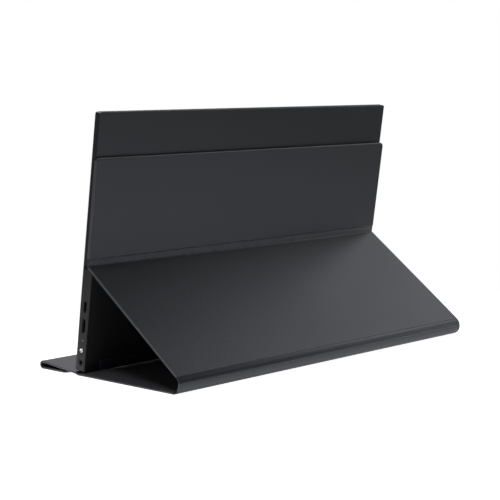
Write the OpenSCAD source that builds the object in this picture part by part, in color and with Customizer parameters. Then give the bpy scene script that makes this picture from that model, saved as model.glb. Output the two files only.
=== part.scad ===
// Portable monitor standing in its folded magnetic cover.
// X runs along the width, with the sockets at +X. The screen faces -Y. Z is up.
// The origin is on the table, under the middle of the whole object.

/* [Screen] */
// Width of the lit screen area
screen_w = 344.2; // [280:0.1:380]
// Height of the lit screen area
screen_h = 193.6; // [160:0.1:220]
// Frame width beside the screen
side_border = 5.9; // [5:0.1:12]
// Frame width above the screen
top_border = 6; // [5:0.1:12]
// Frame width below the screen
chin = 15.4; // [14.5:0.1:30]

/* [Monitor body] */
// Thickness of the upper half
thin_t = 5.4; // [5:0.1:8]
// Thickness of the lower half
thick_t = 11; // [10.4:0.1:14]
// Height of the thick lower half, measured up the back
hump_h = 84; // [76:0.5:110]
// Run of the bevel between the thick and the thin half
hump_slope = 5; // [4:0.1:8]
// Wall of the rear cover and the lower housing
wall = 1.2; // [0.8:0.1:1.6]
// Thickness of the front bezel
bezel_t = 0.8; // [0.6:0.1:1]
// Radius of the outer corners
corner_r = 3; // [2:0.5:6]
// Lean of the monitor from upright, degrees
tilt = 9.4; // [4:0.1:16]

/* [Sockets and keys] */
// Depth of the sockets' middle behind the screen's face
socket_d = 6.5; // [6.2:0.1:7.5]
// Height of the audio jack
jack_s = 8.3; // [7.5:0.1:10]
// Bore of the audio jack
jack_d = 3.6; // [3.5:0.05:3.8]
// Height of the power button
power_s = 18.6; // [16:0.1:22]
// Diameter of the power button
power_d = 3.6; // [3:0.1:5]
// Travel of the power button
power_travel = 0.4; // [0.2:0.05:0.5]
// Height of the status light
light_s = 27; // [25:0.1:30]
// Height of the video socket
video_s = 39.4; // [38:0.1:44]
// Height of the two power and data sockets
usb_s = 55.7; // [54:0.1:58]
// Height of the menu rocker on the far side
rocker_s = 38; // [34:0.5:42]
// Length of the menu rocker
rocker_len = 16; // [12:0.5:18]

/* [Cover] */
// How far the cover stands out beyond each side of the monitor
cover_overhang = 1.6; // [0.5:0.1:4]
// Thickness of the upper panel, which holds the magnets
upper_t = 2.6; // [2.4:0.1:4]
// Thickness of the sloping panel and the spine
slope_t = 2; // [1.6:0.1:3]
// Thickness of the base, the lip and the flap
base_t = 1.7; // [1.4:0.1:2.5]
// Thickness of the outer skin
skin_t = 0.5; // [0.4:0.05:0.6]
// Thickness of the lining
lining_t = 0.4; // [0.3:0.05:0.6]
// Thickness of a flexible crease
crease_t = 1.1; // [0.8:0.1:1.3]
// Length of the upper panel, measured up the back
upper_len = 83; // [60:0.5:95]
// Height of the upper crease above the monitor's thick half
crease_up = 1.6; // [1.6:0.1:4]
// Length of the recessed band above the upper crease
band_len = 5; // [3:0.1:8]
// Length of the sloping panel between its two bends
slope_len = 127.4; // [110:0.5:150]
// Outer radius of the rounded spine
spine_r = 8.3; // [6:0.1:12]
// Bend of the spine's stiff middle, degrees
spine_mid = 50; // [30:1:70]
// Distance of the groove behind the bottom front edge of the monitor
groove_in = 3.2; // [2:0.1:6]
// Width of the groove
groove_w = 2.8; // [2:0.1:4]
// Length of the lip
lip_len = 43.9; // [30:0.1:60]
// Outer radius of the nose where the lip folds under
nose_r = 3.4; // [3:0.1:5]
// Length of the flap that is folded under the lip
flap_len = 31; // [20:0.5:32]
// Radius of the panels' free corners
panel_r = 4; // [2:0.5:8]

/* [Fits] */
// Clearance of a piece that sits in a pocket
fit = 0.1; // [0.05:0.05:0.2]
// Gap between the monitor and the cover
seat_gap = 0.35; // [0.2:0.05:0.6]

/* [Hidden] */
$fn = 48;

body_w = screen_w + 2 * side_border;
body_h = screen_h + top_border + chin;
half_w = body_w / 2;
cover_w = body_w + 2 * cover_overhang;

// How far the bevel's corners move down for each millimetre that the form is drawn in
bevel_share = tan(atan2(thick_t - thin_t, hump_slope) / 2);

// Cut of the casing's rear edges
edge_cut = 0.7;

// How far the bezel's opening stands clear of the lit area, and the cut of its front edge
view_gap = 0.3;
view_cut = 0.4;

// Depths of the layers behind the screen's face
rim_d = bezel_t + 0.8;
tape_t = 0.1;
cell_t = 1;
cell_d = bezel_t + tape_t;
film_gap = 0.05;
diffuser_d = cell_d + cell_t + film_gap;
diffuser_t = 0.15;
prism_d = diffuser_d + diffuser_t + film_gap;
prism_t = 0.2;
guide_d = prism_d + prism_t + film_gap;
guide_t = 0.6;
reflector_d = guide_d + guide_t + film_gap;
reflector_t = 0.15;
backplate_d = reflector_d + reflector_t + film_gap;
backplate_t = 0.3;
stack_d = backplate_d + backplate_t;

// Panel sizes
cell_edge = 3.2;
cell_foot = 9;
cell_w = screen_w + 2 * cell_edge;
cell_h = screen_h + cell_edge + cell_foot;
cell_s = chin - cell_foot;
frame_rim = 0.8;
guide_w = cell_w - 2.6;
led_h = 4;
led_s = cell_s + 0.8;
guide_s = led_s + led_h + 0.4;
guide_h = cell_s + cell_h - 1.2 - guide_s;

// Rubber foot and housing screws, which it covers
pad_w = body_w - 32;
pad_s = 1.3;
pad_h = 8.6;
pad_t = 1.1;
bed = 0.2;
screw_s = 3.2;
screw_out = pad_w / 2 - 4;
screw_x = [for (i = [-3, -1, 1, 3]) i * screw_out / 3];
screw_r = 0.8;
boss_d = thick_t - wall - 1;

// Main board beside the sockets, key board beside the rocker
board_d = 4.9;
board_t = 1;
board_back = board_d + board_t;
board_in = half_w - 1.6;
board_left = board_in - 110.4;
board_low = 14.5;
board_top = 64;
tail_w = 13.4;
key_low = 24;
key_top = 66;
key_right = -board_in + 28;
board_screw_at = [
    [board_left + 6, board_top - 4], [board_in - 16.4, board_top - 2.5],
    [board_left + 6, board_low + 4.5], [board_in - 26.4, board_low + 4.5],
    [key_right - 3.6, key_low + 4], [key_right - 3.6, key_top - 6]
];
// Board of the display, which lies between the two
panel_board_right = board_left - 22;
panel_board_w = 148;
panel_board_t = 0.8;
panel_board_low = 7.2;
panel_board_top = 19;
// Flat cables: where they run, and how high they stand off the boards
link_s = 46;
link_w = 6;
panel_cable_s = 11.5;
panel_cable_w = 5;
cable_t = 0.2;

// Sockets and keys
video_w = 11.2;
video_t = 3.4;
video_cut = 1.1;
usb_w = 9;
usb_t = 3.2;
socket_len = 9;
socket_in = 0.4;
shell_t = 0.3;
jack_len = 12;
button_d = socket_d - 0.4;
jack_mid_d = socket_d - 0.2;
rocker_x = -half_w + wall + 2.2;

// Speakers in the bottom corners
speaker_x = half_w - 69;
speaker_w = 46;
speaker_h = 10.4;
slot_pitch = 3.4;
slot_count = 12;

// Ribs inside the housing
rib_t = 0.8;
rib_h = 1.8;
rib_pitch = 36;

// The lowest point of the monitor's back stands just over the base panel
foot_z = base_t + seat_gap + thick_t * sin(tilt);

// Point of the Y-Z plane that lies at a depth and a height of the monitor
function on_back(d, s) = [d * cos(tilt) + s * sin(tilt), foot_z - d * sin(tilt) + s * cos(tilt)];

// Cover: upper panel and upper crease
crease_s = hump_h + hump_slope + crease_up;
upper_top = crease_s + band_len + upper_len;
upper_d = thin_t + seat_gap + upper_t;
band_recess = 0.8;
crease_recess = 0.35;
low_recess = 0.1;
top_r = band_recess + 0.55;
slope_out_r = top_r - crease_recess;
top_axis = on_back(upper_d - band_recess + top_r, crease_s);

// Cover: the sloping panel is tangent to the upper bend and to the spine
span_r = slope_out_r + spine_r;
slope_a = asin((top_axis[1] - spine_r) / norm([slope_len, span_r])) - atan2(span_r, slope_len);
spine_y = top_axis[0] - span_r * sin(slope_a) + slope_len * cos(slope_a);
slope_start = top_axis - slope_out_r * [sin(slope_a), cos(slope_a)];
spine_axis = [spine_y, spine_r];
spine_top = 90 - slope_a;
spine_bend = (90 + spine_top - spine_mid) / 2;
spine_a0 = -90 + spine_bend;
spine_a1 = spine_a0 + spine_mid;

// Cover: base, lip, nose and flap
seam = 0.02;
base_end = groove_in + groove_w / 2;
lip_start = groove_in - groove_w / 2;
lip_z = 1;
nose_in = nose_r - base_t;
lip_a = asin((nose_r - lip_z) / norm([lip_len, nose_in])) + atan2(nose_in, lip_len);
nose_y = lip_start - lip_len * cos(lip_a) - nose_in * sin(lip_a);

base_len = spine_y - base_end;

// Cover: how the skin is turned in round the boards, and the magnets
turn_in = 1.4;
pocket_a = (turn_in + 0.1) / spine_r * 180 / PI;
magnet_w = 24;
magnet_h = 9;
magnet_t = 1.3;
magnet_down = 40;
magnet_pitch = 30;
keeper_x = half_w - 58;
magnet_x = [for (g = [-1, 0, 1], i = [-1, 0, 1]) g * keeper_x + i * magnet_pitch];
flap_magnet_w = 20;
flap_magnet_h = 8;
flap_magnet_down = 12;
flap_magnet_x = [for (i = [-2 : 2]) i * (half_w - 48) / 2];

// Middle of the whole object, front to back
mid_y = (nose_y - nose_r + spine_y + spine_r) / 2;

// Colours as they show in the photograph
charcoal = [0.19, 0.19, 0.2];
side_grey = [0.3, 0.3, 0.31];
leather_grey = [0.25, 0.25, 0.26];
lining_grey = [0.45, 0.45, 0.47];
card = [0.55, 0.5, 0.42];
steel = [0.72, 0.73, 0.75];
green = [0.05, 0.3, 0.15];
black = [0.05, 0.05, 0.06];

// Places drawn in the monitor's own frame: X width, Y depth from the screen's face, Z height
module on_monitor() {
    translate([0, -mid_y, foot_z]) rotate([-tilt, 0, 0]) children();
}

// Slab between two depths, from an outline drawn in width and height
module slab(d0, d1) {
    translate([0, d1, 0]) rotate([90, 0, 0]) linear_extrude(d1 - d0) children();
}

// Rectangle with round corners that stands on its lower edge
module rounded(w, h, r) {
    translate([0, h / 2]) {
        square([w - 2 * r, h], center = true);
        square([w, h - 2 * r], center = true);
        for (x = [-1, 1], y = [-1, 1])
            translate([x * (w / 2 - r), y * (h / 2 - r)]) circle(r);
    }
}

// Rectangle from one corner to the other
module span(x0, y0, x1, y1) {
    translate([x0, y0]) square([x1 - x0, y1 - y0]);
}

// Outline of the monitor, drawn in by an inset
module outline(inset, top = body_h) {
    translate([0, inset]) rounded(body_w - 2 * inset, top - 2 * inset, max(corner_r - inset, 0.5));
}

// Half of a section through a plate, from its middle out: width, then depth. Its outer edges are cut at
// 45 degrees by one amount at the front and another at the back
function cut_section(half, d0, d1, front, back) = concat(
    front > 0 ? [[half - front, d0], [half, d0 + front]] : [[half, d0]],
    back > 0 ? [[half, d1 - back], [half - back, d1]] : [[half, d1]]
);

function mirrored(points) = concat(points,
    [for (i = [len(points) - 1 : -1 : 0]) [-points[i][0], points[i][1]]]);

// Plate with round corners that stands on its lower edge, between two depths
module plate(w, h, r, d0, d1, front = 0, back = 0) {
    intersection() {
        slab(d0, d1) rounded(w, h, r);
        translate([0, 0, -1]) linear_extrude(h + 2)
            polygon(mirrored(cut_section(w / 2, d0, d1, front, back)));
        translate([-w, 0, h / 2]) rotate([90, 0, 90]) linear_extrude(2 * w)
            polygon([for (p = mirrored(cut_section(h / 2, d0, d1, front, back))) [p[1], p[0]]]);
    }
}

module rod(x, d, s, r, length) {
    translate([x, d, s]) rotate([0, 90, 0]) cylinder(r = r, h = length);
}

module pin(x, s, d0, d1, r) {
    slab(d0, d1) translate([x, s]) circle(r);
}

// Long hole with round ends that goes in along X
module slot_x(x0, x1, d, s, w, t) {
    translate([x0, d, s]) rotate([0, 90, 0]) linear_extrude(x1 - x0) {
        square([w - t, t], center = true);
        for (i = [-1, 1]) translate([i * (w - t) / 2, 0]) circle(t / 2);
    }
}

// Display

module front_bezel() {
    color(charcoal) on_monitor() difference() {
        union() {
            difference() {
                plate(body_w, body_h, corner_r, 0, rim_d, front = 0.4);
                slab(bezel_t, rim_d + 1) outline(wall);
            }
            for (x = screw_x) pin(x, screw_s, bezel_t - 0.1, boss_d - fit, 1.9);
        }
        slab(-0.1, bezel_t + 0.1) translate([0, chin - view_gap])
            rounded(screen_w + 2 * view_gap, screen_h + 2 * view_gap, 0.4);
        // The opening's front edge is cut at 45 degrees
        translate([0, 0, chin - view_gap - view_cut])
            plate(screen_w + 2 * view_gap + 2 * view_cut, screen_h + 2 * view_gap + 2 * view_cut, 0.6,
                -0.1, view_cut, back = view_cut + 0.1);
        for (x = screw_x) pin(x, screw_s, bezel_t + 1, thick_t, screw_r + fit);
    }
}

module panel_tape() {
    color(black) on_monitor() slab(bezel_t, bezel_t + tape_t) difference() {
        translate([0, cell_s]) rounded(cell_w, cell_h, 0.5);
        translate([0, chin - 1]) rounded(screen_w + 2, screen_h + 2, 0.5);
    }
}

module lcd_cell() {
    color(black) on_monitor() slab(cell_d, cell_d + cell_t)
        translate([0, cell_s]) rounded(cell_w, cell_h, 0.5);
}

module film(d, t) {
    slab(d, d + t) translate([0, guide_s]) rounded(guide_w, guide_h, 0.5);
}

module diffuser_sheet() {
    color("white") on_monitor() film(diffuser_d, diffuser_t);
}

module prism_sheet() {
    color("gainsboro") on_monitor() film(prism_d, prism_t);
}

module light_guide() {
    color("whitesmoke") on_monitor() film(guide_d, guide_t);
}

module reflector_sheet() {
    color("white") on_monitor() film(reflector_d, reflector_t);
}

module led_strip() {
    led_count = 36;
    led = [3.8, 1];
    half_row = guide_w / 2 - 6;
    pitch = 2 * half_row / (led_count - 1);
    color("lemonchiffon") on_monitor() {
        slab(reflector_d, reflector_d + reflector_t)
            span(-guide_w / 2 + 1, led_s, guide_w / 2 - 1, led_s + led_h);
        for (i = [0 : led_count - 1])
            slab(guide_d, reflector_d)
                translate([i * pitch - half_row, led_s + led_h - 0.6]) square(led, center = true);
    }
}

module panel_frame() {
    color("white") on_monitor() slab(cell_d + cell_t + film_gap, backplate_d - film_gap) difference() {
        translate([0, cell_s - frame_rim]) rounded(cell_w + 2 * frame_rim, cell_h + 2 * frame_rim, 1);
        span(-guide_w / 2 - fit, led_s - fit, guide_w / 2 + fit, guide_s + guide_h + fit);
    }
}

module panel_backplate() {
    color(steel) on_monitor() slab(backplate_d, stack_d)
        translate([0, cell_s]) rounded(cell_w, cell_h, 1);
}

module panel_board() {
    back = stack_d + fit + panel_board_t;
    chip_x = -25;
    color(green) on_monitor() {
        slab(stack_d + fit, back)
            span(panel_board_right - panel_board_w, panel_board_low, panel_board_right, panel_board_top);
        slab(back, back + 1) span(chip_x, 10, chip_x + 10, 16);
    }
}

module panel_cable() {
    d = board_back + 0.6;
    x0 = panel_board_right - 16;
    x1 = board_left + 3.5;
    top = panel_cable_s + panel_cable_w;
    color("khaki") on_monitor() {
        slab(d, d + cable_t) span(x0, panel_cable_s, x1, top);
        slab(stack_d + fit + panel_board_t, d) span(x0, panel_cable_s, x0 + 4, top);
        slab(board_back, d) span(x1 - 3.3, board_low, x1, top);
    }
}

// Casing

module rear_cover() {
    joint_s = hump_h + hump_slope + 0.1;
    tongue_d = stack_d + 0.05;
    tongue_x = half_w - 6;
    color(charcoal) on_monitor() {
        difference() {
            plate(body_w, body_h, corner_r, rim_d, thin_t, back = edge_cut);
            slab(rim_d - 1, thin_t - wall) outline(wall);
            slab(rim_d - 1, thin_t + 1) span(-body_w, -1, body_w, joint_s);
        }
        // Tongue that tucks in under the lower housing's top edge
        slab(tongue_d, thin_t - wall - fit) span(-tongue_x, joint_s - 5, tongue_x, joint_s + 2);
        slab(tongue_d, thin_t - wall / 2) span(-tongue_x, joint_s + 0.2, tongue_x, joint_s + 2);
    }
}

module keeper_plates() {
    color(steel) on_monitor() for (g = [-1, 0, 1])
        slab(stack_d + 0.05, thin_t - wall - 0.02)
            translate([g * keeper_x, upper_top - magnet_down])
                square([2 * magnet_pitch, 24], center = true);
}

// Outer form of the lower housing, or its hollow when it is drawn in by the wall
module housing_form(inset) {
    top = hump_h + hump_slope + inset;
    front = rim_d - (inset > 0 ? 1 : 0);
    back = thick_t - inset;
    side = mirrored(cut_section(half_w - inset, front, back, 0, edge_cut));
    intersection() {
        slab(front, back) outline(inset, top);
        translate([0, 0, -1]) linear_extrude(top + 2) polygon(side);
        translate([-body_w, 0, 0]) rotate([90, 0, 90]) linear_extrude(2 * body_w) polygon([
            [front, inset], [back - edge_cut, inset], [back, inset + edge_cut],
            [back, hump_h - inset * bevel_share], [thin_t - inset, hump_h + hump_slope - inset * bevel_share],
            [front, hump_h + hump_slope - inset * bevel_share]
        ]);
    }
}

module side_openings() {
    side = half_w - wall - 1;
    rod(side, jack_mid_d, jack_s, 2.7, 4);
    rod(side, button_d, power_s, power_d / 2 + fit, 4);
    rod(side, socket_d, light_s, 0.6, 4);
    video_bar(side, half_w + 1, 0.4);
    for (m = [0, 1]) mirror([m, 0, 0])
        slot_x(side, half_w + 1, socket_d, usb_s, usb_w + 1, usb_t + 0.8);
    slot_x(-half_w - 1, -side, socket_d, rocker_s, rocker_len + 0.8, 3.4);
}

module speaker_slots() {
    slot = [1.2, 3.4, 4];
    for (m = [-1, 1], i = [0 : slot_count - 1])
        translate([m * speaker_x + (i - (slot_count - 1) / 2) * slot_pitch - slot[0] / 2, thin_t, -1])
            cube(slot);
}

// Stiffening ribs on the inner face between the two boards
module housing_ribs() {
    face = thick_t - wall;
    for (x = [key_right + 12 : rib_pitch : board_left - 8])
        slab(face - rib_h, face + 0.1) span(x - rib_t / 2, 14, x + rib_t / 2, hump_h - 5);
    for (s = [30, 56])
        slab(face - rib_h, face + 0.1) span(key_right + 12, s, board_left - 8, s + rib_t);
}

module lower_housing() {
    color(charcoal) on_monitor() difference() {
        union() {
            difference() {
                housing_form(0);
                housing_form(wall);
                slab(rim_d - 1, thin_t - wall) span(-half_w + wall, hump_h / 2, half_w - wall, body_h);
            }
            for (p = board_screw_at) pin(p[0], p[1], board_back, thick_t - wall + 0.1, 2.1);
            for (x = screw_x) pin(x, screw_s, boss_d, thick_t - 0.3, 2.4);
            housing_ribs();
        }
        side_openings();
        speaker_slots();
        // Holes and head seats of the housing screws
        for (x = screw_x) {
            pin(x, screw_s, boss_d - 1, thick_t + 1, screw_r + fit);
            pin(x, screw_s, thick_t - 0.9, thick_t + 1, 2 * screw_r);
        }
        // Shallow bed of the rubber foot
        slab(thick_t - bed, thick_t + 1) translate([0, pad_s - fit])
            rounded(pad_w + 2 * fit, pad_h + 2 * fit, 3);
        for (p = board_screw_at) pin(p[0], p[1], board_d, thick_t - wall, screw_r + fit);
    }
}

module rubber_foot() {
    groove = [pad_w - 7, 0.7];
    groove_pitch = 1.7;
    back = thick_t + pad_t;
    color(black) on_monitor() difference() {
        translate([0, 0, pad_s]) plate(pad_w, pad_h, 2.9, thick_t - bed, back, back = 0.4);
        slab(back - 0.4, back + 1) for (i = [-1.5 : 1.5])
            translate([0, pad_s + pad_h / 2 + i * groove_pitch]) square(groove, center = true);
    }
}

module housing_screws() {
    color(steel) on_monitor() for (x = screw_x) {
        pin(x, screw_s, 4, thick_t - 0.8, screw_r);
        pin(x, screw_s, thick_t - 0.9, thick_t - 0.3, 2 * screw_r - fit);
    }
}

// Electronics

module main_board() {
    back = socket_len + 1;
    color(green) on_monitor() slab(board_d, board_back) difference() {
        union() {
            span(board_left, board_low, board_in, board_top);
            span(board_in - tail_w, 3.5, board_in, board_low + 1);
        }
        span(half_w - jack_len - 1, jack_s - 3.2, half_w, jack_s + 3.2);
        translate([half_w - back / 2, video_s]) square([back, video_w + 2 * fit], center = true);
        translate([half_w - back / 2, usb_s]) square([back, usb_w + 2 * fit], center = true);
        span(half_w - 3.4, power_s - 3.4, half_w, power_s + 3.4);
        for (p = board_screw_at) translate(p) circle(screw_r + 0.2);
    }
}

module board_chips() {
    // Left edge, lower edge, width and height of each, from the board's corner
    chips = [
        [38, 19.5, 14, 14], [20, 23.5, 8, 6], [60, 21.5, 8, 10], [34, 5.5, 6, 5], [46, 5.5, 4, 5]
    ];
    color(black) on_monitor() slab(board_back, board_back + 1.2)
        for (c = chips) translate([board_left + c[0], board_low + c[1]]) square([c[2], c[3]]);
}

module heat_spreader() {
    color(steel) on_monitor() slab(board_back + 1.25, board_back + 1.75)
        translate([board_left + 18, board_low + 17.5]) square([54, 18]);
}

module board_screws() {
    color(steel) on_monitor() for (p = board_screw_at) {
        pin(p[0], p[1], board_d - 0.6, board_d, 1.5);
        pin(p[0], p[1], board_d - 0.1, board_d + 3.4, screw_r);
    }
}

// Bar along X with the video socket's outline, whose rear corners are cut at 45 degrees
module video_bar(x0, x1, grow) {
    w = video_w / 2 + grow;
    t = video_t / 2 + grow;
    c = video_cut + grow * (2 - sqrt(2));
    translate([x0, socket_d, video_s]) rotate([90, 0, 90]) linear_extrude(x1 - x0)
        polygon([[-t, -w], [t - c, -w], [t, -w + c], [t, w - c], [t - c, w], [-t, w]]);
}

module video_socket() {
    x0 = half_w - socket_in - socket_len;
    tongue = [6, 0.7, 7.6];
    color(steel) on_monitor() {
        difference() {
            video_bar(x0, x0 + socket_len, 0);
            video_bar(x0 + 1, half_w, -shell_t);
        }
        translate([x0 + 0.9, socket_d - tongue[1] / 2, video_s - tongue[2] / 2]) cube(tongue);
    }
}

module usb_sockets() {
    x0 = half_w - socket_in - socket_len;
    tongue = [6.4, 0.7, 6.6];
    color(steel) on_monitor() for (m = [0, 1]) mirror([m, 0, 0]) {
        difference() {
            slot_x(x0, x0 + socket_len, socket_d, usb_s, usb_w, usb_t);
            slot_x(x0 + 1, half_w, socket_d, usb_s, usb_w - 2 * shell_t, usb_t - 2 * shell_t);
        }
        translate([x0 + 0.9, socket_d - tongue[1] / 2, usb_s - tongue[2] / 2]) cube(tongue);
    }
}

module audio_jack() {
    x0 = half_w - 0.3 - jack_len;
    block = [jack_len - 1.2, 4.8, 6];
    color(black) on_monitor() difference() {
        union() {
            translate([x0, jack_mid_d - block[1] / 2, jack_s - block[2] / 2]) cube(block);
            rod(x0, jack_mid_d, jack_s, 2.4, jack_len);
        }
        rod(x0 + 1, jack_mid_d, jack_s, jack_d / 2, jack_len);
    }
}

// Inner end of the power button's stem
stem_x = half_w - wall - 1.4;

module power_button() {
    r = power_d / 2;
    color(steel) on_monitor() {
        difference() {
            union() {
                rod(half_w - wall - 0.2, button_d, power_s, r, wall + 0.4);
                translate([half_w + 0.2, button_d, power_s]) rotate([0, 90, 0])
                    cylinder(r1 = r, r2 = r - 0.3, h = 0.3);
            }
            rod(half_w + 0.3, button_d, power_s, 0.5, 1);
        }
        // Flange that holds it in, and the stem that works the switch
        rod(half_w - wall - 0.8, button_d, power_s, r + 0.6, 0.65);
        rod(stem_x, button_d, power_s, 0.8, 0.7);
    }
}

module power_switch() {
    front = stem_x - power_travel - 0.1;
    color(steel) on_monitor() {
        translate([front - 2.6, board_back, power_s - 2.2]) cube([2, 2.2, 4.4]);
        rod(front - 0.7, board_back + 1, power_s, 0.7, 0.7);
    }
}

module status_light() {
    color("whitesmoke") on_monitor() {
        rod(half_w - wall - 2.4, socket_d, light_s, 0.5, wall + 2.3);
        translate([half_w - wall - 4.4, board_back, light_s - 1]) cube([2.2, 1.3, 2]);
    }
}

module menu_rocker() {
    face = -half_w - 0.4;
    flange = -half_w + wall + 0.6;
    color(side_grey) on_monitor() difference() {
        union() {
            slot_x(face, flange + 0.1, socket_d, rocker_s, rocker_len, 3);
            slot_x(flange, flange + 0.55, socket_d, rocker_s, rocker_len + 1.6, 4);
            translate([flange + 0.5, socket_d - 1.5, rocker_s - 0.6]) cube([rocker_x - flange - 0.5, 3, 1.2]);
            pin(rocker_x, rocker_s, socket_d - 1.5, socket_d + 1.5, 0.8);
        }
        for (i = [-1, 1]) rod(face - 0.2, socket_d, rocker_s + i * rocker_len * 0.32, 0.6, 0.4);
    }
}

module key_board() {
    switch_x = -half_w + wall + 1.55;
    color(green) on_monitor() {
        slab(board_d, board_back) difference() {
            span(-board_in, key_low, key_right, key_top);
            translate([0, usb_s]) span(-half_w, -usb_w / 2 - fit, -half_w + socket_len + 1, usb_w / 2 + fit);
            span(-half_w, rocker_s - 1.6, rocker_x + 0.9, rocker_s + 1.6);
            span(-half_w, rocker_s - rocker_len / 2 - 1.6, switch_x, rocker_s + rocker_len / 2 + 1.6);
            for (p = board_screw_at) translate(p) circle(screw_r + 0.2);
        }
        for (i = [-1, 1])
            translate([switch_x, board_back, rocker_s + i * 5 - 1.2]) cube([2.4, 1.6, 2.4]);
        translate([rocker_x + 0.9, board_back, rocker_s - 1.4]) cube([1.4, 2, 2.8]);
    }
}

module board_cable() {
    d = board_back + 0.5;
    x0 = key_right - 7.6;
    x1 = board_left + 10;
    plug = 5.5;
    top = link_s + link_w;
    color("khaki") on_monitor() {
        slab(d, d + cable_t) span(x0, link_s, x1, top);
        slab(board_back, d) span(x0, link_s, x0 + plug, top);
        slab(board_back, d) span(x1 - plug, link_s, x1, top);
    }
}

module speakers() {
    front = stack_d + fit + panel_board_t + 0.15;
    mouth = [speaker_w - 4, 3, 2];
    color(black) on_monitor() for (m = [-1, 1]) difference() {
        slab(front, boss_d)
            translate([m * speaker_x, wall + 0.2]) rounded(speaker_w, speaker_h, 1);
        translate([m * speaker_x - mouth[0] / 2, thin_t + 0.2, 0]) cube(mouth);
    }
}

// Lead from a speaker's end along the bottom and up to its plug on the main board
module speaker_lead(x_speaker, x_plug) {
    d = board_back + 1.5;
    low = 8;
    r = 0.6;
    rod(min(x_speaker, x_plug), d, low, r, abs(x_speaker - x_plug));
    translate([x_plug, d, low - r]) cylinder(r = r, h = board_low - low + 0.8);
    translate([x_plug - 2, board_back, board_low + 0.1]) cube([4, 2.4, 2.2]);
}

module speaker_wires() {
    inner_end = speaker_x - speaker_w / 2;
    color("firebrick") on_monitor() {
        speaker_lead(-inner_end, board_left + 10.5);
        speaker_lead(inner_end, board_left + 15.5);
    }
}

// Cover

// Puts a panel at a point of the Y-Z plane: its length runs along the heading, Z points inwards
module panel_at(p, heading) {
    translate([0, p[0] - mid_y, p[1]]) rotate([heading, 0, 0]) rotate([0, 180, 0]) children();
}

// Flat outline of a panel. The first number of round says that its start is round, the second its end
module panel_outline(length, inset, round = [0, 0]) {
    r = panel_r - inset;
    w = cover_w / 2 - inset;
    difference() {
        translate([-w, inset]) square([2 * w, length - 2 * inset]);
        for (m = [-1, 1]) {
            if (round[0] == 1) translate([m * w, inset]) difference() {
                square(2 * r, center = true);
                translate([-m * r, r]) circle(r);
            }
            if (round[1] == 1) translate([m * w, length - inset]) difference() {
                square(2 * r, center = true);
                translate([-m * r, -r]) circle(r);
            }
        }
    }
}

// Skin with its edges turned in round the board
module panel_skin(length, thick, round = [0, 0]) {
    difference() {
        linear_extrude(thick) panel_outline(length, 0, round);
        translate([0, 0, skin_t]) linear_extrude(thick) panel_outline(length, turn_in, round);
    }
}

module panel_core(length, thick, round = [0, 0]) {
    translate([0, 0, skin_t]) linear_extrude(thick - skin_t - lining_t)
        panel_outline(length, turn_in + fit, round);
}

module panel_lining(length, thick, round = [0, 0]) {
    translate([0, 0, thick - lining_t]) linear_extrude(lining_t) panel_outline(length, turn_in + fit, round);
}

// Drawing of the Y-Z plane, made as wide as asked along X
module across(w) {
    translate([0, -mid_y, 0]) rotate([90, 0, 90]) translate([0, 0, -w / 2]) linear_extrude(w) children();
}

// Band bent round a point of the Y-Z plane, between two radii and two angles
module bent(p, r0, r1, a0, a1, w) {
    across(w) translate(p) intersection() {
        difference() {
            circle(r1, $fn = 96);
            circle(r0, $fn = 96);
        }
        polygon([[0, 0], 4 * r1 * [cos(a0), sin(a0)], 4 * r1 * [cos((a0 + a1) / 2), sin((a0 + a1) / 2)],
            4 * r1 * [cos(a1), sin(a1)]]);
    }
}

module upper_place() {
    panel_at(on_back(upper_d, upper_top), -90 - tilt) children();
}

module upper_skin() {
    color(leather_grey) upper_place() panel_skin(upper_len, upper_t, [1, 0]);
}

module upper_board() {
    color(card) upper_place() difference() {
        panel_core(upper_len, upper_t, [1, 0]);
        for (x = magnet_x) translate([x - magnet_w / 2 - fit, magnet_down - magnet_h / 2 - fit, -1])
            cube([magnet_w + 2 * fit, magnet_h + 2 * fit, 2 * upper_t]);
    }
}

module upper_magnets() {
    color(steel) upper_place() for (x = magnet_x)
        translate([x - magnet_w / 2, magnet_down - magnet_h / 2, upper_t - lining_t - magnet_t])
            cube([magnet_w, magnet_h, magnet_t]);
}

module upper_lining() {
    color(lining_grey) upper_place() panel_lining(upper_len, upper_t, [1, 0]);
}

module slope_place() {
    panel_at(slope_start, -slope_a) children();
}

module slope_skin() {
    color(leather_grey) slope_place() panel_skin(slope_len, slope_t);
}

module slope_board() {
    color(card) slope_place() panel_core(slope_len, slope_t);
}

module slope_lining() {
    color(lining_grey) slope_place() panel_lining(slope_len, slope_t);
}

module spine_band(r0, r1, inset_a, w) {
    bent(spine_axis, r0, r1, spine_a0 + inset_a, spine_a1 - inset_a, w);
}

module spine_skin() {
    color(leather_grey) difference() {
        spine_band(spine_r - slope_t, spine_r, 0, cover_w);
        spine_band(spine_r - slope_t - 1, spine_r - skin_t, pocket_a, cover_w - 2 * turn_in);
    }
}

module spine_board() {
    color(card) spine_band(spine_r - slope_t + lining_t, spine_r - skin_t, pocket_a + 1,
        cover_w - 2 * turn_in - 2 * fit);
}

module spine_lining() {
    color(lining_grey) spine_band(spine_r - slope_t, spine_r - slope_t + lining_t, pocket_a + 1,
        cover_w - 2 * turn_in - 2 * fit);
}

module base_place() {
    panel_at([spine_y, 0], 180) children();
}

module base_skin() {
    color(leather_grey) base_place() panel_skin(base_len, base_t);
}

module base_board() {
    color(card) base_place() panel_core(base_len, base_t);
}

module base_lining() {
    color(lining_grey) base_place() panel_lining(base_len, base_t);
}

module lip_place() {
    panel_at([lip_start, lip_z], 180 - lip_a) children();
}

module lip_skin() {
    color(leather_grey) lip_place() panel_skin(lip_len, base_t);
}

module lip_board() {
    color(card) lip_place() panel_core(lip_len, base_t);
}

module lip_lining() {
    color(lining_grey) lip_place() panel_lining(lip_len, base_t);
}

module flap_place() {
    panel_at([nose_y, base_t], 0) children();
}

module flap_skin() {
    color(leather_grey) flap_place() panel_skin(flap_len, base_t, [0, 1]);
}

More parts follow.
